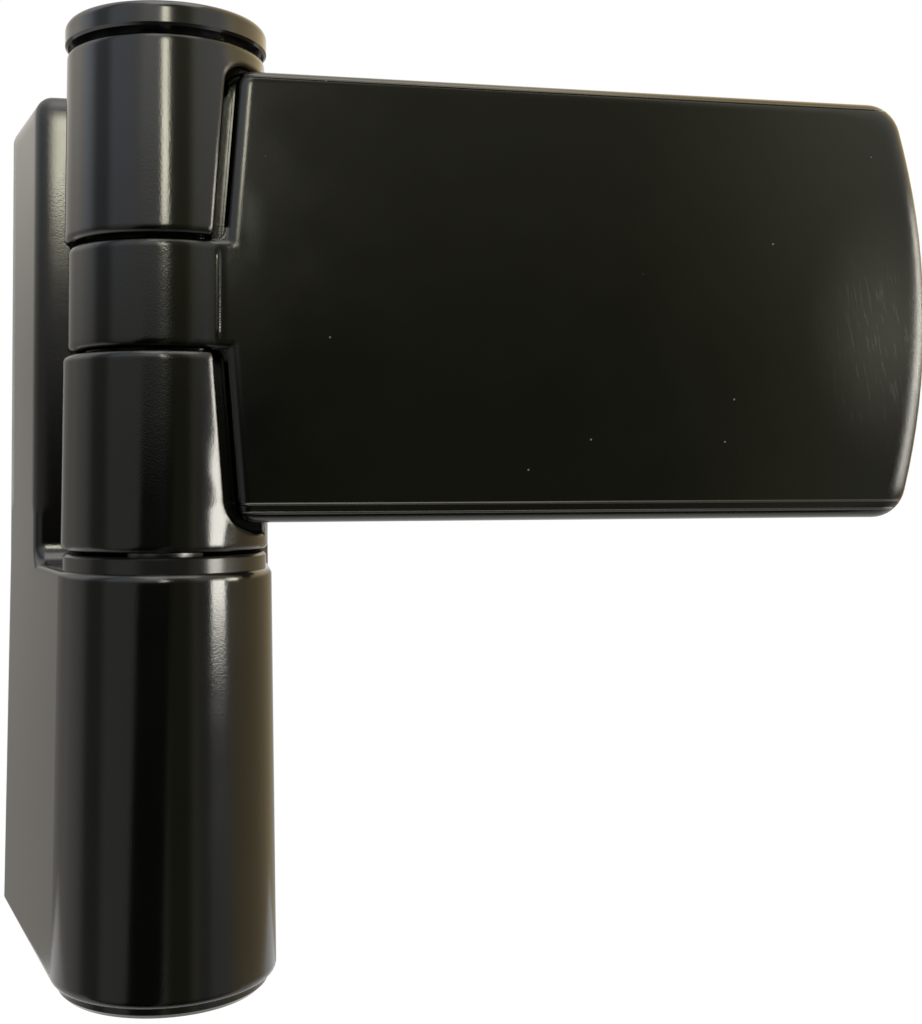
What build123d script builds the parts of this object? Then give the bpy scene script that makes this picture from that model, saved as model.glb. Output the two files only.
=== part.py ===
from build123d import *
import os
from math import cos, radians, sin, sqrt, tan

# Sizes in mm. Work is done about the hinge axis: x along the closed flag, y towards the door frame,
# z up, with z = 0 at the top of the frame barrel. Every piece gets the same shift at the end, which
# puts the origin on the back face of the frame body, at the centre of its fixing holes.

# Fits
fixed_clear = 0.01
run_clear = 0.05
slide_clear = 0.1
loose_clear = 0.2
running_gap = 0.4

# Barrels
barrel_r = 12.0
frame_proud = 0.7
barrel_edge_r = 0.8
knuckle_edge_r = 0.7
sash_draft = 0.45
frame_barrel_h = 47.5
frame_draft = 0.7
ring_h = 2.0

# Frame body
left_flare = 13.0
right_flare = 4.0
back_y = 31.5
post_gap = 0.7
post_lift = 2.2
post_edge_r = 1.5
post_crown_r = 2.5
root_r = 2.5
frame_wall = 3.5
post_front_wall = 4.5
mid_rib = 3.0
pocket_rows = 4
fix_drop = 2.5
fix_pitch_x = 12.4
fix_pitch_z = 40.0
fix_hole_r = 2.65
fix_sink_r = 4.9
boss_r = 5.4

# Pin and bush
pin_r = 4.5
pin_chamfer = 0.5
bush_wall = 2.5
bush_flange_t = 1.9
bush_chamfer = 0.3

# Height adjuster
lift_travel = 4.0
pad_clear = 2.0
pad_t = 3.0
pad_chamfer = 0.3
jack_step = 1.0
jack_len = 8.0
jack_chamfer = 0.6
jack_socket_af = 8.0
jack_socket_depth = 5.5
plug_gap = 1.5
plug_len = 3.5
lip_inset = 0.4
lip_t = 1.3
lip_chamfer = 0.5

# Top of the door-side barrel
top_wall = 4.0
top_recess_h = 5.0
top_web_t = 3.0
pin_screw_r = 3.0
pin_screw_len = 14.0
pin_screw_spare = 1.0
pin_head_r = 5.0
pin_head_h = 2.6
pin_socket_af = 5.0
pin_socket_depth = 2.0
pin_washer_t = 0.8
pin_washer_r = 6.0
cap_proud = 0.25
cap_t = 3.0
cap_groove_h = 0.7
cap_groove_depth = 2.0
cap_edge_r = 1.0
cap_chamfer = 0.3
cap_plug_gap = 0.4

# Flag cover
cover_t = 1.8
band_step = 0.5
band_proud = 1.25
band_half_h = 6.3
band_gap = 0.35
band_clear = 0.2
band_tail_y = 2.5
band_edge_r = 0.9
tail_gap = 0.8
crease_r = 6.0
flag_end_r = 86.0
flag_corner_r = 4.5
flag_left_corner_r = 2.0
flag_edge_r = 1.6
flag_left_mid = 6.2
flag_left_rise = 1.6
rim_gap = 0.3
left_wall_depth = 5.5
relief_gap = 1.3
relief_over = 1.3
relief_top_less = 0.5
relief_back_gap = 0.6
relief_top_r = 2.4
relief_foot_r = 4.5
relief_edge_r = 0.5
web_r = 1.4
web_recess = 0.4
rest_w = 3.0
rest_inset = 0.5

# Arm of the door-side barrel
neck_half_h = 5.0
neck_x = 14.0
neck_back_gap = 1.0
neck_front_gap = 0.45
arm_t = 2.6
arm_half_h = 10.0
arm_corner_r = 2.0
arm_overlap = 2.0
arm_beyond_slot = 6.8
lug_len = 6.0
lug_root = 3.0
lug_half_t = 3.6
lug_half_h = 5.0

# Leaf on the door
leaf_t = 3.0
leaf_start_gap = 1.0
leaf_gap = 0.4
leaf_corner_r = 2.0
rib_t = 2.4
rib_h = 2.6
door_pitch_x = 56.0
door_pitch_z = 37.0
door_edge_x0 = 6.0
door_edge_x1 = 6.4
door_edge_z = 5.5
door_hole_r = 2.65
door_sink_r = 4.9

# Leaf screws
slide_travel = 3.0
clamp_start = 10.0
clamp_pitch = 20.0
clamp_r = 3.0
clamp_head_r = 5.0
clamp_head_h = 1.5
clamp_head_gap = 0.15
clamp_socket_af = 4.0
clamp_socket_depth = 1.0
clamp_washer_r = 5.5
clamp_washer_t = 0.6
side_r = 2.5
side_spare = 2.0
side_collar_r = 3.2
side_collar_t = 2.8
side_lug_gap = 4.0
side_lug_t = 3.0
side_slot_half_h = 4.0

# What follows from them
frame_r = barrel_r + frame_proud
frame_foot_r = frame_r + frame_barrel_h * tan(radians(frame_draft))
frame_bottom = -frame_barrel_h
post_y = barrel_r + post_gap
bush_r = pin_r + bush_wall
jack_r = bush_r + jack_step
below_bush = pad_clear + lift_travel + pad_t + jack_len + plug_gap + plug_len
bush_len = frame_barrel_h - below_bush
jack_step_z = -bush_len - pad_clear + running_gap
pad_top = -bush_len - pad_clear - lift_travel
jack_top = pad_top - pad_t
band_r = barrel_r - band_step
waist_r = band_r - cover_t - band_clear
flag_front_y = band_proud - band_r
cover_inner_y = flag_front_y + cover_t
washer_front_y = cover_inner_y + clamp_head_gap + clamp_head_h
arm_front_y = washer_front_y + clamp_washer_t
arm_back_y = arm_front_y + arm_t
leaf_front_y = arm_back_y + slide_clear
door_y = leaf_front_y + leaf_t
flag_back_y = door_y - rim_gap
left_wall_back_y = flag_front_y + left_wall_depth
relief_back_y = left_wall_back_y + relief_back_gap
neck_front_y = cover_inner_y + neck_front_gap
neck_back_y = left_wall_back_y + neck_back_gap
side_y = (cover_inner_y + clamp_head_gap + door_y) / 2
leaf_half_h = door_pitch_z / 2 + door_edge_z
flag_half_h = leaf_half_h + leaf_gap + cover_t
relief_half_h = flag_half_h + relief_over
waist_half_h = band_half_h + band_gap
barrel_z0 = bush_flange_t + running_gap
barrel_z1 = barrel_z0 + 2 * (relief_half_h + ring_h)
mid_z = (barrel_z0 + barrel_z1) / 2
sash_top_r = barrel_r - (barrel_z1 - mid_z) * tan(radians(sash_draft))
web_z1 = barrel_z1 - top_recess_h
web_z0 = web_z1 - top_web_t
post_top = mid_z + flag_half_h + post_lift
fix_mid_z = mid_z - fix_drop
leaf_x0 = neck_x + slide_travel + leaf_start_gap
door_x0 = leaf_x0 + door_edge_x0
leaf_x1 = door_x0 + door_pitch_x + door_edge_x1
flag_end_x = leaf_x1 + slide_travel + leaf_gap - sqrt((flag_end_r - cover_t) ** 2 - leaf_half_h**2)
left_slope = flag_left_rise / (flag_half_h - band_half_h)
left_axis = flag_left_mid - left_slope * band_half_h
clamp_x = (leaf_x0 + clamp_start, leaf_x0 + clamp_start + clamp_pitch)
slot_half = slide_travel + slide_clear
arm_x = clamp_x[1] + slot_half + clamp_r + slide_clear + arm_beyond_slot
lug_x = arm_x + lug_len
side_lug_x = lug_x + slide_travel + side_lug_gap
side_collar_x = side_lug_x + side_lug_t + slide_clear
side_far_x = side_collar_x + side_collar_t + slide_clear
side_end_x = side_far_x + side_lug_t


def rod(radius, z0, z1):
    return Pos(0, 0, (z0 + z1) / 2) * Cylinder(radius, z1 - z0)


def rod_x(radius, x0, x1):
    return Pos((x0 + x1) / 2, side_y, mid_z) * Rot(0, 90, 0) * Cylinder(radius, x1 - x0)


def rod_y(radius, x, z, y0, y1):
    return Pos(x, (y0 + y1) / 2, z) * Rot(90, 0, 0) * Cylinder(radius, y1 - y0)


def block(x0, x1, y0, y1, z0, z1):
    return Pos((x0 + x1) / 2, (y0 + y1) / 2, (z0 + z1) / 2) * Box(x1 - x0, y1 - y0, z1 - z0)


def slab(x0, x1, y0, y1, half_h):
    # a block centred on the middle of the flag
    return block(x0, x1, y0, y1, mid_z - half_h, mid_z + half_h)


def sink(x, z, y_face, hole_r, sink_r):
    depth = sink_r - hole_r
    return Pos(x, y_face + depth / 2, z) * Rot(-90, 0, 0) * Cone(sink_r, hole_r, depth)


def hexagon(across, depth):
    return extrude(RegularPolygon(across / sqrt(3), 6), amount=depth)


def upright_edges(solid, x_min, x_max):
    # edges along y whose middle lies between two x
    return solid.edges().filter_by(Axis.Y).filter_by(lambda e: x_min < e.center().X < x_max)


# Frame body: a drafted barrel whose side walls run back to the door frame, and a post behind the
# door-side barrel
def wall_x(side, y, radius=frame_r):
    # half width on one side at that depth, where the wall runs on from a barrel of that radius
    flare = radians(left_flare if side < 0 else right_flare)
    return radius / cos(flare) + y * tan(flare)


def wall_section(y_left, y_right, y1, radius):
    left = [(-wall_x(-1, y, radius), y) for y in (y_left, y1)]
    right = [(wall_x(1, y, radius), y) for y in (y1, y_right)]
    return make_face(Polyline(*left, *right, close=True))


foot_spare = frame_foot_r - frame_r + 1
left_start = -frame_foot_r * sin(radians(left_flare))
right_start = -frame_foot_r * sin(radians(right_flare))
foot = Circle(frame_foot_r) + wall_section(left_start, right_start, back_y + foot_spare, frame_foot_r)
base = Pos(0, 0, frame_bottom) * extrude(foot, amount=frame_barrel_h, taper=frame_draft)
base = base - block(-back_y, back_y, back_y, back_y + 2 * foot_spare, frame_bottom, 0)
ends = base.edges().group_by(Axis.Z)
rims = [e for e in ends[0] + ends[-1] if e.center().Y < back_y - run_clear]
base = fillet(rims, barrel_edge_r)
foot_y = post_y - root_r
root_mid = root_r * sqrt(0.5)
root = ThreePointArc((post_y, root_r), (foot_y + root_mid, root_r - root_mid), (foot_y, 0))
sides = Polyline((foot_y, 0), (foot_y, -root_r), (back_y, -root_r), (back_y, post_top), (post_y, post_top),
                 (post_y, root_r))
post = extrude(Plane.YZ * make_face(root + sides), amount=back_y, both=True)
walls = extrude(wall_section(foot_y, foot_y, back_y, frame_r), amount=root_r + post_top)
post = post & (Pos(0, 0, -root_r) * walls)
front_edges = [e for e in post.edges() if abs(e.center().X) > frame_r / 2 and 0 < e.center().Z < post_top - run_clear]
front_edges = [e for e in front_edges if e.center().Y < post_y + run_clear]
post = fillet(front_edges, post_edge_r)
post = fillet(post.faces().sort_by(Axis.Z)[-1].edges(), post_crown_r)
frame_body = base + post - rod(barrel_r + loose_clear, 0, post_top)


def pockets(z0, z1, floor_y):
    # coring from the back face in two columns, which leaves walls and ribs
    height = (z1 - z0 - frame_wall * (pocket_rows - 1)) / pocket_rows
    near = mid_rib / 2
    left = wall_x(-1, floor_y) - frame_wall
    right = wall_x(1, floor_y) - frame_wall
    cuts = []
    for row in range(pocket_rows):
        low = z0 + row * (height + frame_wall)
        cuts.append(block(near, right, floor_y, back_y, low, low + height))
        cuts.append(block(-left, -near, floor_y, back_y, low, low + height))
    return cuts


for cut in pockets(frame_bottom + frame_wall, -frame_wall, frame_r + frame_wall):
    frame_body = frame_body - cut
for cut in pockets(frame_wall, post_top - frame_wall, post_y + post_front_wall):
    frame_body = frame_body - cut
fix_points = [(sx * fix_pitch_x / 2, fix_mid_z + sz * fix_pitch_z / 2) for sx in (-1, 1) for sz in (-1, 1)]
for x, z in fix_points:
    frame_body = frame_body + rod_y(boss_r, x, z, post_y + post_front_wall / 2, back_y)
for x, z in fix_points:
    frame_body = frame_body - rod_y(fix_hole_r, x, z, post_y, back_y)
    frame_body = frame_body - sink(x, z, post_y, fix_hole_r, fix_sink_r)
frame_body = frame_body - rod(bush_r + fixed_clear, jack_step_z, 0)
frame_body = frame_body - rod(jack_r + run_clear, frame_bottom, jack_step_z)

# Flanged bush, whose flange shows as the ring between the barrels
frame_bush = rod(bush_r, -bush_len, 0) + rod(barrel_r, 0, bush_flange_t)
frame_bush = frame_bush - rod(pin_r + run_clear, -bush_len, bush_flange_t)
frame_bush = chamfer(frame_bush.edges().group_by(Axis.Z)[-1].sort_by(SortBy.LENGTH)[-1], bush_chamfer)

# Height adjuster and the cap that closes it
thrust_pad = chamfer(rod(jack_r - slide_clear, pad_top - pad_t, pad_top).edges(), pad_chamfer)
height_screw = chamfer(rod(jack_r, jack_top - jack_len, jack_top).edges(), jack_chamfer)
height_screw = height_screw - Pos(0, 0, jack_top - jack_len) * hexagon(jack_socket_af, jack_socket_depth)
bottom_cap = rod(frame_r - lip_inset, frame_bottom - lip_t, frame_bottom)
bottom_cap = chamfer(bottom_cap.edges().group_by(Axis.Z)[0], lip_chamfer)
bottom_cap = bottom_cap + rod(jack_r, frame_bottom, frame_bottom + plug_len)

# Door-side barrel: relieved beside the flag, waisted under the band, with an arm under the cover
relief_x = left_axis - relief_gap
relief_top = relief_half_h - relief_top_less
reach = 2 * barrel_r
relief_face = make_face(Polyline(
    (relief_x, mid_z), (relief_x + left_slope * relief_top, mid_z + relief_top), (reach, mid_z + relief_top),
    (reach, mid_z - relief_half_h), (relief_x + left_slope * relief_half_h, mid_z - relief_half_h), close=True))
relief = Pos(0, relief_back_y, 0) * extrude(Plane.XZ * relief_face, amount=reach)
corners = upright_edges(relief, relief_x + run_clear, barrel_r).sort_by(Axis.Z)
relief = fillet(corners[-1], relief_top_r)
corners = upright_edges(relief, relief_x + run_clear, barrel_r).sort_by(Axis.Z)
relief = fillet(corners[0], relief_foot_r)


def sash_r(z):
    return barrel_r + (mid_z - z) * tan(radians(sash_draft))


def sash_rod(z0, z1):
    # a length of the drafted door-side barrel, with both rims rounded
    solid = Pos(0, 0, (z0 + z1) / 2) * Cone(sash_r(z0), sash_r(z1), z1 - z0)
    return fillet(solid.edges().filter_by(GeomType.CIRCLE), knuckle_edge_r)


waist_z0 = mid_z - waist_half_h
waist_z1 = mid_z + waist_half_h
back_half_h = waist_half_h + 2 * knuckle_edge_r
back = slab(-reach, 0, band_tail_y + tail_gap, reach, back_half_h)
back = back + slab(0, reach, relief_back_y, reach, back_half_h)
sash_barrel = sash_rod(barrel_z0, waist_z0) + sash_rod(waist_z1, barrel_z1)
sash_barrel = sash_barrel + rod(waist_r, waist_z0 - knuckle_edge_r, waist_z1 + knuckle_edge_r)
sash_barrel = sash_barrel + (sash_rod(barrel_z0, barrel_z1) & back)
sash_barrel = sash_barrel - relief
relief_edges = []
for edge in sash_barrel.edges():
    middle = edge @ 0.5
    on_barrel = abs(Vector(middle.X, middle.Y).length - sash_r(middle.Z)) < fixed_clear
    if on_barrel and middle.X > relief_x and middle.Y < relief_back_y - run_clear:
        relief_edges.append(edge)
sash_barrel = fillet(relief_edges, relief_edge_r)
neck = slab(0, neck_x, neck_front_y, neck_back_y, neck_half_h)
arm = slab(neck_x - arm_overlap, arm_x, arm_front_y, arm_back_y, arm_half_h)
arm = fillet(arm.edges().filter_by(Axis.Y), arm_corner_r)
lug = slab(arm_x - lug_root, lug_x, side_y - lug_half_t, side_y + lug_half_t, lug_half_h)
sash_barrel = sash_barrel + neck + arm + lug
for x in clamp_x:
    slot = slab(x - slot_half, x + slot_half, arm_front_y, arm_back_y, clamp_r + slide_clear)
    for end in (x - slot_half, x + slot_half):
        slot = slot + rod_y(clamp_r + slide_clear, end, mid_z, arm_front_y, arm_back_y)
    sash_barrel = sash_barrel - slot
side_x0 = arm_x - side_spare
sash_barrel = sash_barrel - rod_x(side_r + run_clear, side_x0 - slide_travel - side_spare, lug_x)
sash_barrel = sash_barrel - rod(pin_r + fixed_clear, barrel_z0, web_z0)
sash_barrel = sash_barrel - rod(pin_screw_r + loose_clear, web_z0, web_z1)
top_recess_r = barrel_r - top_wall
sash_barrel = sash_barrel - rod(top_recess_r, web_z1, barrel_z1)

# Hinge pin, with the screw and washer that hold it from the top
hinge_pin = chamfer(rod(pin_r, pad_top, web_z0).edges(), pin_chamfer)
hinge_pin = hinge_pin - rod(pin_screw_r + fixed_clear, web_z1 - pin_screw_len - pin_screw_spare, web_z0)
head_z0 = web_z1 + pin_washer_t
head_z1 = head_z0 + pin_head_h
pin_screw = rod(pin_screw_r, web_z1 - pin_screw_len, head_z0) + rod(pin_head_r, head_z0, head_z1)
pin_screw = pin_screw - Pos(0, 0, head_z1 - pin_socket_depth) * hexagon(pin_socket_af, pin_socket_depth)
pin_washer = rod(pin_washer_r, web_z1, head_z0) - rod(pin_screw_r + loose_clear, web_z1, head_z0)

# Top cap, with a shadow groove under its rim
cap_z0 = barrel_z1 + cap_groove_h
top_cap = rod(sash_top_r + cap_proud, cap_z0, cap_z0 + cap_t)
top_cap = fillet(top_cap.edges().group_by(Axis.Z)[-1], cap_edge_r)
top_cap = chamfer(top_cap.edges().group_by(Axis.Z)[0], cap_chamfer)
top_cap = top_cap + rod(sash_top_r - cap_groove_depth, barrel_z1, cap_z0)
top_cap = top_cap + rod(top_recess_r - run_clear, head_z1 + cap_plug_gap, barrel_z1)


# Flag cover: a shallow tray with a bowed end, and a band that hooks round the waist of the barrel
def tray(inset, y0, y1, corner_r):
    half = flag_half_h - inset
    radius = flag_end_r - inset
    left = left_axis + inset
    left_end = left + left_slope * half
    right = flag_end_x + sqrt(radius**2 - half**2)
    low = mid_z - half
    high = mid_z + half
    sides = Polyline((right, high), (left_end, high), (left, mid_z), (left_end, low), (right, low))
    end = ThreePointArc((right, low), (flag_end_x + radius, mid_z), (right, high))
    solid = Pos(0, y1, 0) * extrude(Plane.XZ * make_face(sides + end), amount=y1 - y0)
    return fillet(upright_edges(solid, right - run_clear, right + run_clear), corner_r)


flag = tray(0, flag_front_y, flag_back_y, flag_corner_r)
left_corner_x = left_axis + left_slope * flag_half_h
flag = fillet(upright_edges(flag, left_corner_x - run_clear, left_corner_x + run_clear), flag_left_corner_r)
flag = fillet(flag.faces().sort_by(Axis.Y)[0].edges(), flag_edge_r)
flag = flag - tray(cover_t, cover_inner_y, flag_back_y, flag_corner_r - cover_t)
flag = flag - slab(0, barrel_r + leaf_start_gap, left_wall_back_y, reach, barrel_z1)
crease_y = flag_front_y - crease_r
crease_x = sqrt((band_r + crease_r) ** 2 - crease_y**2)
band_z0 = mid_z - band_half_h
band_z1 = mid_z + band_half_h
crease_face = make_face(Polyline((0, 0), (crease_x, crease_y), (crease_x, 0), close=True))
crease = Pos(0, 0, band_z0) * extrude(crease_face, amount=band_z1 - band_z0)
crease = crease - Pos(crease_x, crease_y, 0) * rod(crease_r, band_z0, band_z1)
band = rod(band_r, band_z0, band_z1) & slab(-reach, reach, -reach, band_tail_y, band_half_h)
bridge = slab(0, left_axis + cover_t + flag_edge_r, flag_front_y, cover_inner_y, band_half_h)
band = band + crease + bridge
band = band - slab(0, reach, cover_inner_y, reach, band_half_h)
band = band - rod(waist_r + band_clear, band_z0, band_z1)
outer_edges = []
for level in (0, -1):
    for edge in band.edges().group_by(Axis.Z)[level]:
        middle = edge @ 0.5
        outside = Vector(middle.X, middle.Y).length > waist_r + band_clear + cover_t / 2
        if outside and middle.X < crease_x and middle.Y < band_tail_y - run_clear:
            outer_edges.append(edge)
band = fillet(outer_edges, band_edge_r)
flag_cover = flag + band
web_spare = cover_t / 2
web_side = web_r + web_spare
web_face = Rectangle(web_side, web_side, align=(Align.MIN, Align.MAX)) - Circle(web_r)
web_at = Pos(flag_left_mid + left_slope * web_r - web_r, cover_inner_y, band_z1 + web_r) * Rot(90, 0, 0)
web = web_at * extrude(web_face, amount=cover_inner_y - flag_front_y - web_recess)
flag_cover = flag_cover + web + mirror(web, about=Plane.XY.offset(mid_z))
neck_way = neck_half_h + running_gap
flag_cover = flag_cover - slab(0, left_axis + cover_t + flag_edge_r, cover_inner_y, reach, neck_way)
flag_cover = flag_cover - rod(waist_r + band_clear, band_z0, band_z1)
for side in (-1, 1):
    rest_z = mid_z + side * (arm_half_h - rest_inset - rest_w / 2)
    rest_x1 = clamp_x[1] + clamp_head_r + slide_travel
    rest = block(leaf_x0, rest_x1, cover_inner_y, arm_front_y, rest_z - rest_w / 2, rest_z + rest_w / 2)
    flag_cover = flag_cover + rest

# Leaf on the door, with ribs that guide the arm and lugs that hold the side screw
flag_plate = slab(leaf_x0, leaf_x1, leaf_front_y, door_y, leaf_half_h)
flag_plate = fillet(flag_plate.edges().filter_by(Axis.Y), leaf_corner_r)
for side in (-1, 1):
    rib_z = mid_z + side * (arm_half_h + slide_clear + rib_t / 2)
    rib = block(leaf_x0, lug_x, leaf_front_y - rib_h, leaf_front_y, rib_z - rib_t / 2, rib_z + rib_t / 2)
    flag_plate = flag_plate + rib
window_x0 = arm_x - lug_root - slide_travel - running_gap
flag_plate = flag_plate - slab(window_x0, side_lug_x, leaf_front_y, door_y, lug_half_h + running_gap)
for x in (side_lug_x, side_far_x):
    flag_plate = flag_plate + slab(x, x + side_lug_t, side_y - lug_half_t, door_y, lug_half_h)
flag_plate = flag_plate - slab(side_lug_x + side_lug_t, side_far_x, leaf_front_y, door_y, side_slot_half_h)
flag_plate = flag_plate - rod_x(side_r + run_clear, side_lug_x, side_end_x)
for x in (door_x0, door_x0 + door_pitch_x):
    for z in (mid_z - door_pitch_z / 2, mid_z + door_pitch_z / 2):
        flag_plate = flag_plate - rod_y(door_hole_r, x, z, leaf_front_y, door_y)
        flag_plate = flag_plate - sink(x, z, leaf_front_y, door_hole_r, door_sink_r)
for x in clamp_x:
    flag_plate = flag_plate - rod_y(clamp_r + fixed_clear, x, mid_z, leaf_front_y, door_y)

# Clamp screws and washers, and the side screw
screws = []
washers = []
for x in clamp_x:
    head_y = washer_front_y - clamp_head_h
    screw = rod_y(clamp_r, x, mid_z, washer_front_y, door_y - clamp_head_gap)
    screw = screw + rod_y(clamp_head_r, x, mid_z, head_y, washer_front_y)
    socket = Pos(x, head_y, mid_z) * Rot(-90, 0, 0) * hexagon(clamp_socket_af, clamp_socket_depth)
    screws.append(screw - socket)
    washer = rod_y(clamp_washer_r, x, mid_z, washer_front_y, arm_front_y)
    washers.append(washer - rod_y(clamp_r + fixed_clear, x, mid_z, washer_front_y, arm_front_y))
lateral_screw = rod_x(side_r, side_x0, side_end_x)
lateral_screw = lateral_screw + rod_x(side_collar_r, side_collar_x, side_collar_x + side_collar_t)

nodes = {
    "frame_body": frame_body,
    "frame_bush": frame_bush,
    "thrust_pad": thrust_pad,
    "height_screw": height_screw,
    "bottom_cap": bottom_cap,
    "sash_barrel": sash_barrel,
    "hinge_pin": hinge_pin,
    "pin_screw": pin_screw,
    "pin_washer": pin_washer,
    "top_cap": top_cap,
    "flag_cover": flag_cover,
    "flag_plate": flag_plate,
    "clamp_screws": Compound(children=screws),
    "clamp_washers": Compound(children=washers),
    "lateral_screw": lateral_screw,
}
os.makedirs("parts", exist_ok=True)
shift = Pos(0, -back_y, -fix_mid_z)
for name, solid in nodes.items():
    export_step(shift * solid, f"parts/{name}.step")
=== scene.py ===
import math

import bmesh
import bpy
from mathutils import Euler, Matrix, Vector


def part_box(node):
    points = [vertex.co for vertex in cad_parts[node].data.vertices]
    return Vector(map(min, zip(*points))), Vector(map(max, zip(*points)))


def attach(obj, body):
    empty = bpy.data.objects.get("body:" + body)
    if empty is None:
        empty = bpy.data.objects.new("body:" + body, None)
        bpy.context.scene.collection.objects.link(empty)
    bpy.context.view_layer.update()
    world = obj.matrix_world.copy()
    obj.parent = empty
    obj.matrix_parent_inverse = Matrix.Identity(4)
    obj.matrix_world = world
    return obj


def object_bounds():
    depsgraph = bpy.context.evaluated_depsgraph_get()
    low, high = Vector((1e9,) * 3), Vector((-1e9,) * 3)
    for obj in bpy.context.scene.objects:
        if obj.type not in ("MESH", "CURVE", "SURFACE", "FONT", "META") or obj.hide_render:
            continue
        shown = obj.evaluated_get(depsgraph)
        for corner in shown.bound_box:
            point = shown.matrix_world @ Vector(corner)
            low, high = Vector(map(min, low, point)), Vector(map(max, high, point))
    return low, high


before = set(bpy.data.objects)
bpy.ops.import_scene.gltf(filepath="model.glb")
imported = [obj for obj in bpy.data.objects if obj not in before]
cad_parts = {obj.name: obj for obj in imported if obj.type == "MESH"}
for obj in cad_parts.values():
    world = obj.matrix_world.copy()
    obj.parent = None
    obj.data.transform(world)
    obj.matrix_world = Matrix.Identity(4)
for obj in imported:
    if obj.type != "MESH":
        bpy.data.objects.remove(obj)  # frame["bodies"], ["nodes"], ["joints"], ["record"]
cad_low, cad_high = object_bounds()

# The photograph's frame and the camera that took it
IMAGE_WIDTH_PX = 922
IMAGE_HEIGHT_PX = 1024
FOCAL_PX = 1389.8
CENTRE_X_PX = 400.0
CENTRE_Y_PX = 430.0
SENSOR_MM = 36.0
CAMERA_PLACE = (-0.00485, -0.20092, -0.01862)
CAMERA_YAW = math.radians(11.21)
CAMERA_TILT = math.radians(1.98)
CAMERA_ROLL = math.radians(0.16)
CAMERA_CLIP = 0.005

# Where the stage stands
FLOOR_DROP = 0.30
FLOOR_FRONT_Y = -0.12
FLOOR_BACK_Y = 0.8
FLOOR_HALF_WIDTH = 0.8
FLOOR_COLOUR = (0.86, 0.86, 0.85, 1.0)
FLOOR_ROUGHNESS = 0.9
FLOOR_GLOW = 0.75
OBJECT_CENTRE = Vector((0.0, -0.035, -0.02))

# The paint, and how far its film rounds corners off
PAINT_TONES = ((0.0006, 0.0006, 0.0004), (0.0012, 0.0012, 0.0008))
PAINT_ROUGHNESS = (0.11, 0.15)
PAINT_RELIEF = 0.00002
CORNER_SAMPLES = 6
EDGE_SOFTNESS = 0.0006
POST_SOFTNESS = 0.0030
POST_FOOT_Z = -0.0235
POST_FADE = 0.002
FLAG_END_SOFTNESS = 0.0024
FLAG_END_X = 0.082
FLAG_END_FADE = 0.006

# Signs of use on the flag, with a painted sheen around the scratch marks by its free end; places and
# reaches are x and z
SMEAR_AT = (0.0081, 0.0098)
SMEAR_REACH = (0.0040, 0.0085)
SMEAR_STRENGTH = 0.6
SMEAR_COLOUR = (0.009, 0.013, 0.018)
SCRATCHES_AND_SHEEN_AT = (0.0890, -0.0002)
SCRATCHES_AND_SHEEN_REACH = (0.0120, 0.0190)
SCRATCH_LEAN = math.radians(10.0)
SCRATCH_LEVELS = (0.56, 0.72)
SCRATCH_HAZE_AND_SHEEN = 0.6
SCRATCH_AND_SHEEN_COLOUR = (0.034, 0.033, 0.028)
SPECK_CELLS = 200.0
SPECK_SIZES = (0.012, 0.032)
SPECK_COLOUR = (0.12, 0.12, 0.11)
MARK_DULLING = 0.2

# Fine lines along the flag's edges, and the crease where its band starts
TOP_LINE_INSET = 0.0009
BOTTOM_LINE_INSETS = (0.0021, 0.0011)
LINE_HALF_WIDTH = 0.00018
LINE_HEIGHT = 0.00013
CREASE_X = 0.0056
CREASE_MID_Z = 0.0024
CREASE_HALF_LENGTH = 0.0056
CREASE_FULL_SHARE = 0.7
CREASE_HALF_WIDTH = 0.0004
CREASE_HEIGHT = 0.00008

# Plastic and steel
CAP_COLOUR = (0.004, 0.004, 0.0045)
CAP_ROUGHNESS = 0.15
ACETAL_COLOUR = (0.004, 0.004, 0.004)
ACETAL_ROUGHNESS = 0.20
PLASTIC_DARKEST = 0.7
PLASTIC_GLOSS_SHARES = (0.85, 1.25)
PLASTIC_RELIEF = 0.00001
STEEL_TONES = ((0.46, 0.47, 0.48), (0.66, 0.67, 0.68))
STEEL_ROUGHNESS = (0.26, 0.42)
STEEL_RELIEF = 0.00002

# The barrel's tapered back, which a thin skin makes truly round; the sector is in degrees from the front
BARREL_AXIS_Y = -0.0315
BARREL_MID_Z = 0.0025
BARREL_MID_RADIUS = 0.012
BARREL_TAPER = 0.008
BACK_SECTOR = (-98.8, -152.2)
BACK_STEPS = 54
SKIN_DEPTH = 0.0004
SKIN_HEIGHTS = {
    "barrel_skin_upper": (0.00993, 0.03127),
    "barrel_skin_lower": (-0.02627, -0.00483),
}
SHARP_FROM = math.radians(30.0)

# Colours of the room as the paint mirrors it
ROOM_COLOUR = (1.0, 0.99, 0.93)
WARM_COLOUR = (1.0, 0.80, 0.47)
OLIVE_COLOUR = (1.0, 0.98, 0.62)
LEFT_WALL_COLOUR = (1.0, 0.95, 0.86)
LEFT_SKY_COLOUR = (0.92, 1.0, 1.08)
WHITE = (1.0, 1.0, 1.0)

# Between these two values lies most of a noise
NOISE_MIDDLE = (0.3, 0.7)

# Sockets of a Mix node, by number because their names repeat
MIX_FACTOR = 0
MIX_FLOATS = (2, 3)
MIX_COLOURS = (6, 7)
MIXED_FLOAT = 0
MIXED_COLOUR = 2


def new_material(name):
    """A material with an empty Principled shader; returns it with its tree and the shader node."""
    material = bpy.data.materials.new(name)
    material.use_nodes = True
    tree = material.node_tree
    shader = tree.nodes["Principled BSDF"]
    return material, tree, shader


def node(tree, kind, **values):
    """A node of that kind, with its settings and its input values set by name."""
    made = tree.nodes.new(kind)
    for key, value in values.items():
        if key in made.inputs:
            made.inputs[key].default_value = value
        else:
            setattr(made, key, value)
    return made


def place_of(tree):
    """The piece's own coordinates, in metres."""
    return tree.nodes.new("ShaderNodeTexCoord").outputs["Object"]


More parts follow.
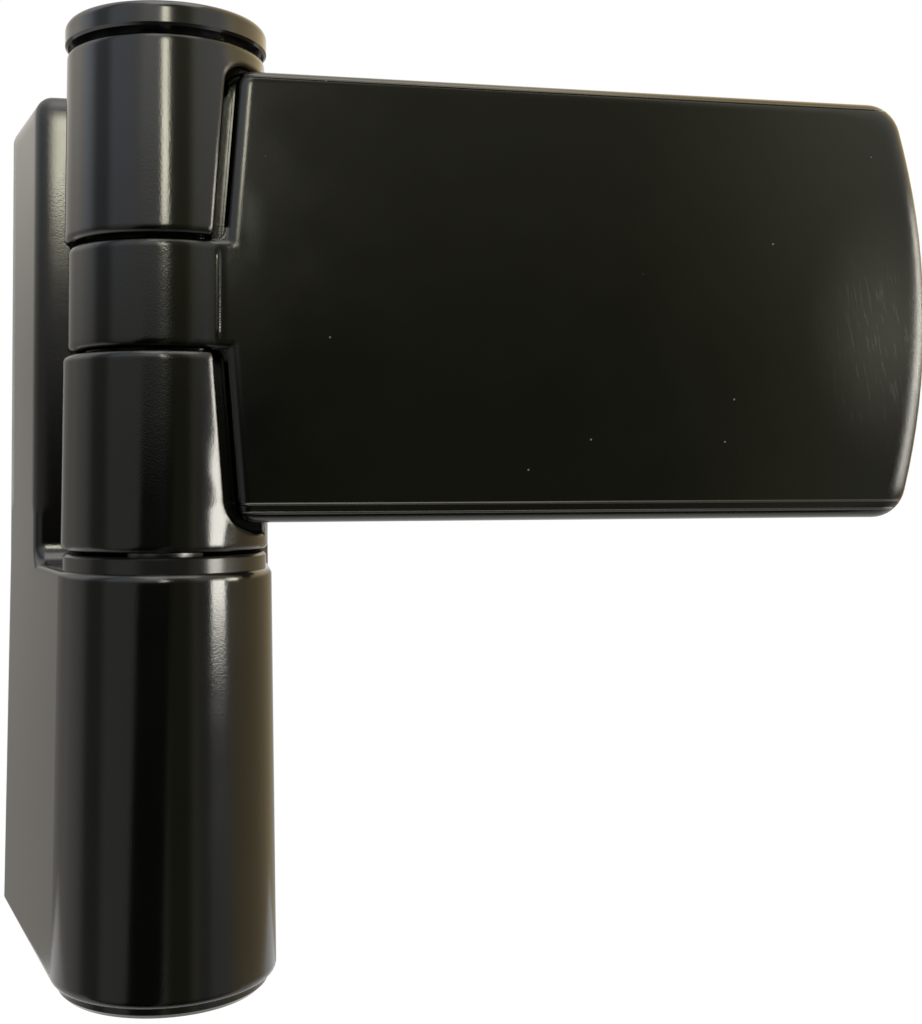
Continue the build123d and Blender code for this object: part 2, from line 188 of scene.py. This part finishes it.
def parts_of(tree, vector):
    """The X, Y and Z outputs of a vector."""
    made = tree.nodes.new("ShaderNodeSeparateXYZ")
    tree.links.new(vector, made.inputs["Vector"])
    return made.outputs


def noise(tree, place, scale, detail=2.0, roughness=0.5, stretch=None):
    """Noise in the piece's own coordinates, in cycles per metre; stretch scales each axis."""
    made = node(tree, "ShaderNodeTexNoise", Scale=scale, Detail=detail, Roughness=roughness)
    source = place
    if stretch:
        mapping = node(tree, "ShaderNodeMapping", Scale=stretch)
        tree.links.new(place, mapping.inputs["Vector"])
        source = mapping.outputs["Vector"]
    tree.links.new(source, made.inputs["Vector"])
    return made.outputs["Fac"]


def spread(tree, value, low, high, out_low, out_high, kind="LINEAR"):
    """Stretches value from low..high to out_low..out_high, held at the ends."""
    made = tree.nodes.new("ShaderNodeMapRange")
    made.interpolation_type = kind
    made.inputs["From Min"].default_value = low
    made.inputs["From Max"].default_value = high
    made.inputs["To Min"].default_value = out_low
    made.inputs["To Max"].default_value = out_high
    tree.links.new(value, made.inputs["Value"])
    return made.outputs["Result"]


def smooth(tree, value, low, high, out_low, out_high):
    """The same as spread, with a soft start and end."""
    return spread(tree, value, low, high, out_low, out_high, kind="SMOOTHSTEP")


def math_node(tree, operation, a, b):
    """Two values, or a value and a number, put together by one operation."""
    made = node(tree, "ShaderNodeMath", operation=operation)
    tree.links.new(a, made.inputs[0])
    if isinstance(b, (int, float)):
        made.inputs[1].default_value = b
    else:
        tree.links.new(b, made.inputs[1])
    return made.outputs["Value"]


def away_from(tree, value, centre):
    """How far a value is from a number, without its sign."""
    made = node(tree, "ShaderNodeMath", operation="ABSOLUTE")
    tree.links.new(math_node(tree, "SUBTRACT", value, centre), made.inputs[0])
    return made.outputs["Value"]


def mix_colours(tree, value, first, second):
    """The first colour where value is 0 and the second where it is 1; a node can give the first."""
    made = node(tree, "ShaderNodeMix", data_type="RGBA")
    first_input, second_input = (made.inputs[number] for number in MIX_COLOURS)
    tree.links.new(value, made.inputs[MIX_FACTOR])
    if isinstance(first, bpy.types.NodeSocket):
        tree.links.new(first, first_input)
    else:
        first_input.default_value = (*first, 1.0)
    second_input.default_value = (*second, 1.0)
    return made.outputs[MIXED_COLOUR]


def bump(tree, height, strength, distance, below=None):
    """Bump of that height in metres, on top of another normal if one is given."""
    made = node(tree, "ShaderNodeBump", Strength=strength, Distance=distance)
    tree.links.new(height, made.inputs["Height"])
    if below:
        tree.links.new(below, made.inputs["Normal"])
    return made.outputs["Normal"]


def spot(tree, place, centre, reach):
    """1 at a point of the front, fading to 0 at its reach; both are x and z in metres."""
    x, z = centre
    across, up = reach
    mapping = node(
        tree, "ShaderNodeMapping", Location=(-x / across, 0.0, -z / up), Scale=(1 / across, 0.0, 1 / up))
    tree.links.new(place, mapping.inputs["Vector"])
    length = node(tree, "ShaderNodeVectorMath", operation="LENGTH")
    tree.links.new(mapping.outputs["Vector"], length.inputs[0])
    return smooth(tree, length.outputs["Value"], 0.0, 1.0, 1.0, 0.0)


def black_paint(name, radius=EDGE_SOFTNESS, softness=None, marks=None):
    """Stoved black paint: glossy, with a fine grain and faint clouding.

    Its film rounds corners off by radius, or by what softness gives where that differs over the piece.
    marks adds signs of use, and on the flag a painted sheen.
    """
    material, tree, shader = new_material(name)
    place = place_of(tree)
    cloud = noise(tree, place, scale=45.0, detail=4.0, roughness=0.6)
    colour = mix_colours(tree, spread(tree, cloud, *NOISE_MIDDLE, 0.0, 1.0), *PAINT_TONES)
    gloss = spread(tree, noise(tree, place, scale=120.0, detail=3.0), *NOISE_MIDDLE, *PAINT_ROUGHNESS)
    corner = node(tree, "ShaderNodeBevel", samples=CORNER_SAMPLES, Radius=radius)
    if softness:
        tree.links.new(softness(tree, place), corner.inputs["Radius"])
    waves = noise(tree, place, scale=900.0, detail=1.0)
    normal = bump(tree, waves, strength=0.08, distance=PAINT_RELIEF, below=corner.outputs["Normal"])
    grain = noise(tree, place, scale=5200.0, detail=0.0)
    normal = bump(tree, grain, strength=0.22, distance=PAINT_RELIEF, below=normal)
    if marks:
        colour, gloss, normal = marks(tree, place, colour, gloss, normal)
    tree.links.new(colour, shader.inputs["Base Color"])
    tree.links.new(gloss, shader.inputs["Roughness"])
    tree.links.new(normal, shader.inputs["Normal"])
    return material


def post_softness(tree, place):
    """More rounding on the frame's post, above its foot, than on the rest of the frame."""
    height = parts_of(tree, place)["Z"]
    return smooth(tree, height, POST_FOOT_Z, POST_FOOT_Z + POST_FADE, EDGE_SOFTNESS, POST_SOFTNESS)


def flag_softness(tree, place):
    """More rounding at the flag's free end than on the rest of the flag."""
    along = parts_of(tree, place)["X"]
    return smooth(tree, along, FLAG_END_X, FLAG_END_X + FLAG_END_FADE, EDGE_SOFTNESS, FLAG_END_SOFTNESS)


def flag_lines(tree, place, normal):
    """The lines where the flag's edges start to round, and the crease beside its band."""
    low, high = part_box("flag_cover")
    parts = parts_of(tree, place)
    for line_z in [high.z - TOP_LINE_INSET] + [low.z + inset for inset in BOTTOM_LINE_INSETS]:
        ridge = smooth(tree, away_from(tree, parts["Z"], line_z), 0.0, LINE_HALF_WIDTH, 1.0, 0.0)
        normal = bump(tree, ridge, strength=1.0, distance=LINE_HEIGHT, below=normal)
    across = smooth(tree, away_from(tree, parts["X"], CREASE_X), 0.0, CREASE_HALF_WIDTH, 1.0, 0.0)
    fade_from = CREASE_FULL_SHARE * CREASE_HALF_LENGTH
    along = smooth(tree, away_from(tree, parts["Z"], CREASE_MID_Z), fade_from, CREASE_HALF_LENGTH, 1.0, 0.0)
    crease = math_node(tree, "MULTIPLY", across, along)
    return bump(tree, crease, strength=1.0, distance=CREASE_HEIGHT, below=normal)


def flag_marks(tree, place, colour, gloss, normal):
    """The flag's hazy smear, scratch marks in a painted sheen by its free end, dust specks, and its lines.
    """
    streaks = noise(tree, place, scale=330.0, detail=3.0, stretch=(1.0, 1.0, 0.6))
    streaks = spread(tree, streaks, *NOISE_MIDDLE, 0.0, SMEAR_STRENGTH)
    smear = math_node(tree, "MULTIPLY", spot(tree, place, SMEAR_AT, SMEAR_REACH), streaks)
    turned = node(tree, "ShaderNodeMapping", Rotation=(0.0, SCRATCH_LEAN, 0.0))
    tree.links.new(place, turned.inputs["Vector"])
    lines = noise(tree, turned.outputs["Vector"], scale=3600.0, detail=2.0, stretch=(1.0, 1.0, 0.09))
    # The haze under the scratch lines is painted sheen: it lightens the whole patch like a glow around the
    # free end's highlight
    lines = spread(tree, lines, *SCRATCH_LEVELS, SCRATCH_HAZE_AND_SHEEN, 1.0)
    scratches_and_sheen = math_node(tree, "MULTIPLY", spot(tree, place, SCRATCHES_AND_SHEEN_AT, SCRATCHES_AND_SHEEN_REACH), lines)
    cells = node(tree, "ShaderNodeTexVoronoi", Scale=SPECK_CELLS)
    tree.links.new(place, cells.inputs["Vector"])
    specks = spread(tree, cells.outputs["Distance"], *SPECK_SIZES, 1.0, 0.0)
    colour = mix_colours(tree, smear, colour, SMEAR_COLOUR)
    # Painted sheen and scratch marks: this colour lightens the patch as well as the lines
    colour = mix_colours(tree, scratches_and_sheen, colour, SCRATCH_AND_SHEEN_COLOUR)
    colour = mix_colours(tree, specks, colour, SPECK_COLOUR)
    dulled = math_node(tree, "MAXIMUM", math_node(tree, "MAXIMUM", smear, scratches_and_sheen), specks)
    gloss = math_node(tree, "ADD", gloss, math_node(tree, "MULTIPLY", dulled, MARK_DULLING))
    return colour, gloss, flag_lines(tree, place, normal)


def black_plastic(name, colour, roughness):
    """Moulded black plastic with a slight flow pattern in its gloss."""
    material, tree, shader = new_material(name)
    place = place_of(tree)
    flow = noise(tree, place, scale=260.0, detail=3.0, stretch=(1.0, 1.0, 0.3))
    darkest = tuple(PLASTIC_DARKEST * part for part in colour)
    tree.links.new(mix_colours(tree, flow, darkest, colour), shader.inputs["Base Color"])
    low_share, high_share = PLASTIC_GLOSS_SHARES
    gloss = spread(tree, flow, *NOISE_MIDDLE, roughness * low_share, roughness * high_share)
    tree.links.new(gloss, shader.inputs["Roughness"])
    grain = noise(tree, place, scale=2200.0, detail=2.0)
    tree.links.new(bump(tree, grain, strength=0.2, distance=PLASTIC_RELIEF), shader.inputs["Normal"])
    return material


def zinc_steel():
    """Zinc-plated steel: bright, a little clouded, with fine rolling marks."""
    material, tree, shader = new_material("zinc_steel")
    place = place_of(tree)
    shader.inputs["Metallic"].default_value = 1.0
    cloud = noise(tree, place, scale=180.0, detail=4.0, roughness=0.6)
    tree.links.new(mix_colours(tree, cloud, *STEEL_TONES), shader.inputs["Base Color"])
    marks = noise(tree, place, scale=700.0, detail=3.0, stretch=(0.08, 1.0, 1.0))
    tree.links.new(spread(tree, marks, *NOISE_MIDDLE, *STEEL_ROUGHNESS), shader.inputs["Roughness"])
    tree.links.new(bump(tree, marks, strength=0.15, distance=STEEL_RELIEF), shader.inputs["Normal"])
    return material


# Each node takes its slot's finish, and two have a paint of their own
finishes = {
    "black_coat": black_paint("black_paint"),
    "black_cap": black_plastic("black_cap_plastic", CAP_COLOUR, CAP_ROUGHNESS),
    "black_acetal": black_plastic("black_acetal", ACETAL_COLOUR, ACETAL_ROUGHNESS),
    "zinc_steel": zinc_steel(),
}
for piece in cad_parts.values():
    slot = piece.material_slots[0]
    slot.material = finishes[slot.material.name]
own_paints = {
    "flag_cover": black_paint("flag_paint", softness=flag_softness, marks=flag_marks),
    "frame_body": black_paint("frame_paint", softness=post_softness),
}
for piece_name, paint in own_paints.items():
    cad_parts[piece_name].material_slots[0].material = paint


def skin_points(heights):
    """The skin's corners, four at each angle: the outer and the inner one at each of two heights."""
    start, end = BACK_SECTOR
    points = []
    for step in range(BACK_STEPS + 1):
        angle = math.radians(start + (end - start) * step / BACK_STEPS)
        for z in heights:
            for depth in (0.0, SKIN_DEPTH):
                radius = BARREL_MID_RADIUS - BARREL_TAPER * (z - BARREL_MID_Z) - depth
                points.append((radius * math.sin(angle), BARREL_AXIS_Y - radius * math.cos(angle), z))
    return points


def skin_faces():
    """The faces between those corners, closed at both ends of the sector."""
    last = 4 * BACK_STEPS
    faces = [(0, 1, 3, 2), (last, last + 2, last + 3, last + 1)]
    for a in range(0, last, 4):
        b = a + 4
        faces.append((a, a + 2, b + 2, b))
        faces.append((a + 1, b + 1, b + 3, a + 3))
        faces.append((a, b, b + 1, a + 1))
        faces.append((a + 2, a + 3, b + 3, b + 2))
    return faces


def barrel_skin(name, heights, material):
    """A thin curved skin on the barrel's back between two heights, smooth but for its border."""
    mesh = bpy.data.meshes.new(name)
    mesh.from_pydata(skin_points(heights), [], skin_faces())
    work = bmesh.new()
    work.from_mesh(mesh)
    bmesh.ops.recalc_face_normals(work, faces=work.faces)
    for face in work.faces:
        face.smooth = True
    for edge in work.edges:
        edge.smooth = edge.calc_face_angle() < SHARP_FROM
    work.to_mesh(mesh)
    work.free()
    mesh.materials.append(material)
    made = bpy.data.objects.new(name, mesh)
    bpy.context.scene.collection.objects.link(made)
    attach(made, "knuckle")


skin_paint = black_paint("skin_paint", radius=0.0)
for skin_name, skin_heights in SKIN_HEIGHTS.items():
    barrel_skin(skin_name, skin_heights, skin_paint)

# Camera
camera_data = bpy.data.cameras.new("camera")
camera_data.sensor_width = SENSOR_MM
camera_data.lens = FOCAL_PX * SENSOR_MM / IMAGE_HEIGHT_PX
camera_data.shift_x = (IMAGE_WIDTH_PX / 2 - CENTRE_X_PX) / IMAGE_HEIGHT_PX
camera_data.shift_y = (CENTRE_Y_PX - IMAGE_HEIGHT_PX / 2) / IMAGE_HEIGHT_PX
camera_data.clip_start = CAMERA_CLIP
camera = bpy.data.objects.new("camera", camera_data)
camera.location = CAMERA_PLACE
camera.rotation_euler = Euler((math.pi / 2 + CAMERA_TILT, CAMERA_ROLL, -CAMERA_YAW))
bpy.context.scene.collection.objects.link(camera)
bpy.context.scene.camera = camera


def towards(azimuth, elevation, distance):
    """A point that far from the object; azimuth 0 is in front of it and 90 is on its right, in degrees."""
    a, e = math.radians(azimuth), math.radians(elevation)
    way = Vector((math.sin(a) * math.cos(e), -math.cos(a) * math.cos(e), math.sin(e)))
    return OBJECT_CENTRE + distance * way


def lamp(name, azimuth, elevation, distance, width, height, radiance, colour):
    """A rectangular softbox that faces the object; a radiance of 1 looks as bright as white."""
    data = bpy.data.lights.new(name, "AREA")
    data.shape = "RECTANGLE"
    data.size = width
    data.size_y = height
    data.energy = radiance * math.pi * width * height
    data.color = colour
    made = bpy.data.objects.new(name, data)
    made.location = towards(azimuth, elevation, distance)
    made.rotation_euler = (OBJECT_CENTRE - made.location).to_track_quat("-Z", "Y").to_euler()
    bpy.context.scene.collection.objects.link(made)


lamp(
    "top_softbox", azimuth=10.0, elevation=75.0, distance=1.3, width=1.0, height=1.0,
    radiance=2.4, colour=(1.0, 0.98, 0.94))
lamp(
    "right_window", azimuth=56.0, elevation=0.5, distance=1.2, width=0.34, height=0.25,
    radiance=20.0, colour=(1.0, 0.97, 0.88))
lamp(
    "right_card", azimuth=74.0, elevation=8.0, distance=1.2, width=0.30, height=0.26,
    radiance=22.0, colour=(1.0, 0.96, 0.84))
lamp(
    "front_light", azimuth=-3.0, elevation=18.4, distance=1.2, width=0.15, height=0.25,
    radiance=16.0, colour=(1.0, 0.97, 0.76))


def side(tree, azimuth, centre, inner, outer):
    """1 within the inner angle of that azimuth, fading to 0 at the outer angle, in degrees."""
    away = away_from(tree, azimuth, math.radians(centre))
    return smooth(tree, away, math.radians(inner), math.radians(outer), 1.0, 0.0)


def lit(tree, room, mask, factor, where=None):
    """The room's brightness, times factor where the mask is 1, and only in one part if that is given."""
    if where:
        mask = math_node(tree, "MULTIPLY", mask, where)
    return math_node(tree, "MULTIPLY", room, spread(tree, mask, 0.0, 1.0, 1.0, factor))


def room_brightness(tree, azimuth, height):
    """A room that is bright above, with dim and bright sides that show as stripes in the paint."""
    room = smooth(tree, height, 0.05, 0.33, 0.46, 1.2)
    room = math_node(tree, "MULTIPLY", room, smooth(tree, height, -0.65, -0.35, 0.25, 1.0))
    level_down = smooth(tree, height, 0.0, 0.14, 1.0, 0.0)
    high_up = smooth(tree, height, 0.2, 0.3, 0.0, 1.0)
    leaned = math_node(tree, "SUBTRACT", azimuth, math_node(tree, "MULTIPLY", height, 0.5))
    front_shade = side(tree, leaned, centre=-11.5, inner=15.5, outer=20.0)
    room = lit(tree, room, front_shade, 0.07, where=level_down)
    front_glow = side(tree, azimuth, centre=-18.0, inner=6.0, outer=20.0)
    room = lit(tree, room, front_glow, 1.5, where=high_up)
    right_shade = side(tree, azimuth, centre=14.0, inner=7.0, outer=19.0)
    room = lit(tree, room, right_shade, 0.30)
    right_stripe = side(tree, azimuth, centre=39.0, inner=4.0, outer=10.0)
    room = lit(tree, room, right_stripe, 0.60, where=level_down)
    left_shade = side(tree, azimuth, centre=-80.0, inner=6.0, outer=17.0)
    room = lit(tree, room, left_shade, 0.45)
    left_glow = side(tree, azimuth, centre=-112.0, inner=6.0, outer=22.0)
    room = lit(tree, room, left_glow, 1.3)
    left_back = side(tree, azimuth, centre=-160.0, inner=15.0, outer=35.0)
    room = lit(tree, room, left_back, 0.8)
    return lit(tree, room, warm_side(tree, azimuth), 1.4)


def warm_side(tree, azimuth):
    """The warm right side of the room."""
    return side(tree, azimuth, centre=112.0, inner=30.0, outer=52.0)


def room_colour(tree, azimuth, height):
    """Warm on the right, olive in front, and cooler high up on the left."""
    olive = side(tree, azimuth, centre=17.0, inner=8.0, outer=22.0)
    olive = math_node(tree, "MULTIPLY", olive, smooth(tree, height, 0.12, 0.26, 1.0, 0.75))
    left_wall = side(tree, azimuth, centre=-145.0, inner=25.0, outer=45.0)
    left_sky = side(tree, azimuth, centre=-75.0, inner=25.0, outer=45.0)
    left_sky = math_node(tree, "MULTIPLY", left_sky, smooth(tree, height, 0.1, 0.2, 0.0, 1.0))
    colour = mix_colours(tree, warm_side(tree, azimuth), ROOM_COLOUR, WARM_COLOUR)
    colour = mix_colours(tree, olive, colour, OLIVE_COLOUR)
    colour = mix_colours(tree, left_wall, colour, LEFT_WALL_COLOUR)
    return mix_colours(tree, left_sky, colour, LEFT_SKY_COLOUR)


def studio_world():
    """The room, which is white to the camera, and white in reflections straight behind the object."""
    world = bpy.data.worlds.new("studio")
    world.use_nodes = True
    tree = world.node_tree
    background = tree.nodes["Background"]
    direction = parts_of(tree, tree.nodes.new("ShaderNodeTexCoord").outputs["Generated"])
    front = math_node(tree, "MULTIPLY", direction["Y"], -1.0)
    azimuth = math_node(tree, "ARCTAN2", direction["X"], front)
    ray = tree.nodes.new("ShaderNodeLightPath").outputs
    shiny = math_node(tree, "ADD", ray["Is Glossy Ray"], ray["Is Transmission Ray"])
    behind = spread(tree, direction["Y"], 0.92, 1.0, 0.0, 1.0)
    white = math_node(tree, "MULTIPLY", shiny, behind)
    white = math_node(tree, "MAXIMUM", ray["Is Camera Ray"], white)
    level = node(tree, "ShaderNodeMix", data_type="FLOAT")
    room_input, white_input = (level.inputs[number] for number in MIX_FLOATS)
    white_input.default_value = 1.0
    tree.links.new(white, level.inputs[MIX_FACTOR])
    tree.links.new(room_brightness(tree, azimuth, direction["Z"]), room_input)
    tree.links.new(level.outputs[MIXED_FLOAT], background.inputs["Strength"])
    colour = mix_colours(tree, white, room_colour(tree, azimuth, direction["Z"]), WHITE)
    tree.links.new(colour, background.inputs["Color"])
    return world


bpy.context.scene.world = studio_world()


def floor_material():
    """Pale floor that takes shadows, and is nearly white to the camera and in reflections."""
    material, tree, shader = new_material("pale_floor")
    shader.inputs["Base Color"].default_value = FLOOR_COLOUR
    shader.inputs["Roughness"].default_value = FLOOR_ROUGHNESS
    ray = tree.nodes.new("ShaderNodeLightPath").outputs
    glow = node(tree, "ShaderNodeEmission", Strength=1.0)
    seen = math_node(tree, "MAXIMUM", ray["Is Camera Ray"], ray["Is Glossy Ray"])
    seen = math_node(tree, "MAXIMUM", seen, ray["Is Transmission Ray"])
    mix = tree.nodes.new("ShaderNodeMixShader")
    tree.links.new(math_node(tree, "MULTIPLY", seen, FLOOR_GLOW), mix.inputs[0])
    tree.links.new(shader.outputs[0], mix.inputs[1])
    tree.links.new(glow.outputs[0], mix.inputs[2])
    tree.links.new(mix.outputs[0], tree.nodes["Material Output"].inputs["Surface"])
    return material


# Floor
floor_z = cad_low.z - FLOOR_DROP
floor_mesh = bpy.data.meshes.new("floor")
floor_corners = [
    (-FLOOR_HALF_WIDTH, FLOOR_FRONT_Y, floor_z),
    (FLOOR_HALF_WIDTH, FLOOR_FRONT_Y, floor_z),
    (FLOOR_HALF_WIDTH, FLOOR_BACK_Y, floor_z),
    (-FLOOR_HALF_WIDTH, FLOOR_BACK_Y, floor_z),
]
floor_mesh.from_pydata(floor_corners, [], [(0, 1, 2, 3)])
floor_mesh.materials.append(floor_material())
floor = bpy.data.objects.new("floor", floor_mesh)
bpy.context.scene.collection.objects.link(floor)

bpy.context.scene.view_settings.view_transform = "Standard"
